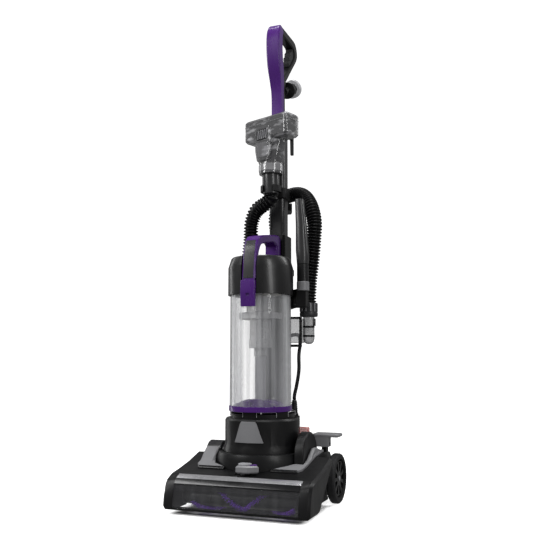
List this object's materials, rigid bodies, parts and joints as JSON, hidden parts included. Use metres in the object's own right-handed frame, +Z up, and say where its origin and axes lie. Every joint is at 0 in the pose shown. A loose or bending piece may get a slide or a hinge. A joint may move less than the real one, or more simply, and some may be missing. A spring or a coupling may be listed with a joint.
{
  "type": "upright vacuum cleaner",
  "caption": "Bagless upright vacuum cleaner with a wide brush foot, a clear dust bin, a stretch hose, stowed tools and a looped hand grip.",
  "frame": {"origin": "on the floor, midway across the foot's width and midway between the foot's front edge and the back of the hand grip", "axes": "+Z up, +Y from the brush window towards the hand grip at the back, +X to the side that carries the hose, the crevice tool and the release pedal"},
  "size_m": [0.306, 0.4164, 1.09],
  "materials": {
    "black_gloss": "gloss",
    "black_matte": "matte",
    "dark_grey": "satin",
    "mid_grey": "satin",
    "light_grey": "satin",
    "purple": "gloss",
    "bristle": "matte",
    "clear": "gloss",
    "smoke": "gloss",
    "red_tab": "gloss",
    "rubber": "matte",
    "hose": "satin",
    "cord": "satin",
    "filter": "matte",
    "motor_shell": "matte",
    "steel": "brushed"
  },
  "bodies": {
    "foot": {"foot_shell": "black_gloss", "base_plate": "black_matte", "brush_window": "clear", "window_trim": "light_grey", "panel_left": "mid_grey", "panel_right": "mid_grey", "pivot_yoke": "black_gloss", "pivot_cap_left": "black_gloss", "pivot_cap_right": "black_gloss", "wheel_axle_left": "steel", "wheel_axle_right": "steel", "drive_belt": "rubber", "pedal_bracket": "black_matte", "mains_cord_run": "cord", "mains_cord_coil": "cord", "mains_plug": "cord"},
    "brush": {"brush_roll": "dark_grey", "bristle_row_a": "bristle", "bristle_row_b": "bristle"},
    "left_wheel": {"wheel_disc_left": "mid_grey", "wheel_tyre_left": "rubber"},
    "right_wheel": {"wheel_disc_right": "mid_grey", "wheel_tyre_right": "rubber"},
    "left_roller": {"front_roller_left": "black_matte"},
    "right_roller": {"front_roller_right": "black_matte"},
    "height_control": {"height_slider": "light_grey"},
    "recline_pedal": {"release_pedal": "mid_grey"},
    "upright": {"motor_base": "black_gloss", "badge_plate": "mid_grey", "motor": "motor_shell", "rear_spine": "black_matte", "pole_socket": "black_matte", "pole": "black_gloss", "hose_bracket": "black_matte", "handle_front": "purple", "handle_loop": "dark_grey", "grip_pad": "black_matte", "cord_hook_lower": "black_matte", "inlet_duct": "light_grey", "hose_elbow": "mid_grey", "hose_cuff_upper": "black_gloss", "crevice_holder": "black_gloss", "strain_relief": "rubber", "stretch_hose": "hose"},
    "rotor": {"motor_shaft": "steel", "motor_fan": "dark_grey"},
    "switch_pedal": {"power_pedal": "red_tab"},
    "dust_bin": {"bin_cup": "clear", "bin_door": "purple", "bin_cap": "black_gloss", "bin_filter": "filter", "cyclone_shroud": "mid_grey", "inner_tube": "mid_grey", "carry_handle": "purple"},
    "bin_catch": {"bin_release": "purple"},
    "hose_swivel": {"hose_cuff_lower": "mid_grey"},
    "upper_hook": {"cord_hook_upper": "black_matte"},
    "turbo_tool": {"turbo_head": "smoke"},
    "turbo_roller": {"turbo_brush": "dark_grey"},
    "crevice_nozzle": {"crevice_tool": "dark_grey"}
  },
  "joints": [
    {"name": "recline", "type": "hinge", "parent": "foot", "child": "upright", "pos_m": [0, -0.026, 0.105], "axis": [-1, 0, 0], "range_deg": [0, 75], "deforming": ["mains_cord_run"]},
    {"name": "brush_spin", "type": "hinge", "parent": "foot", "child": "brush", "pos_m": [0, -0.14, 0.031], "axis": [1, 0, 0], "continuous": true},
    {"name": "rotor_spin", "type": "hinge", "parent": "upright", "child": "rotor", "pos_m": [0, -0.026, 0.105], "axis": [1, 0, 0], "continuous": true},
    {"name": "left_wheel_spin", "type": "hinge", "parent": "foot", "child": "left_wheel", "pos_m": [-0.1415, 0.043, 0.0516], "axis": [1, 0, 0], "continuous": true},
    {"name": "right_wheel_spin", "type": "hinge", "parent": "foot", "child": "right_wheel", "pos_m": [0.1415, 0.043, 0.0516], "axis": [1, 0, 0], "continuous": true},
    {"name": "left_roller_spin", "type": "hinge", "parent": "foot", "child": "left_roller", "pos_m": [-0.101, -0.078, 0.009], "axis": [1, 0, 0], "continuous": true},
    {"name": "right_roller_spin", "type": "hinge", "parent": "foot", "child": "right_roller", "pos_m": [0.101, -0.078, 0.009], "axis": [1, 0, 0], "continuous": true},
    {"name": "height_slide", "type": "slide", "parent": "foot", "child": "height_control", "axis": [1, 0, 0], "range_m": [-0.012, 0.012]},
    {"name": "pedal_press", "type": "hinge", "parent": "foot", "child": "recline_pedal", "pos_m": [0.115, 0.047, 0.122], "axis": [-1, 0, 0], "range_deg": [0, 10], "stiffness_Nm_per_rad": 4, "springref_deg": -5.73},
    {"name": "switch_press", "type": "slide", "parent": "upright", "child": "switch_pedal", "axis": [0, 0, -1], "range_m": [0, 0.004], "stiffness_N_per_m": 1500, "springref_m": -0.001},
    {"name": "bin_lift", "type": "slide", "parent": "upright", "child": "dust_bin", "axis": [0, 0, 1], "range_m": [0, 0.045]},
    {"name": "catch_press", "type": "slide", "parent": "dust_bin", "child": "bin_catch", "axis": [0, 0, -1], "range_m": [0, 0.004], "stiffness_N_per_m": 1200, "springref_m": -0.001},
    {"name": "hose_turn", "type": "hinge", "parent": "upright", "child": "hose_swivel", "pos_m": [0.083, 0.038, 0.41], "axis": [0, 0, 1], "continuous": true},
    {"name": "hook_turn", "type": "hinge", "parent": "upright", "child": "upper_hook", "pos_m": [0.005, 0.089, 0.936], "axis": [0, 0.9063, 0.4226], "range_deg": [-90, 90]},
    {"name": "turbo_lift", "type": "slide", "parent": "upright", "child": "turbo_tool", "axis": [0, 0, 1], "range_m": [0, 0.045]},
    {"name": "turbo_spin", "type": "hinge", "parent": "turbo_tool", "child": "turbo_roller", "pos_m": [-0.00034, 0.02106, 0.821], "axis": [0.9397, -0.342, 0], "continuous": true},
    {"name": "crevice_lift", "type": "slide", "parent": "upright", "child": "crevice_nozzle", "axis": [0, 0, 1], "range_m": [0, 0.025]}
  ],
  "couplings": [
    {"joint": "rotor_spin", "follows": "brush_spin", "ratio": 1.5625}
  ]
}
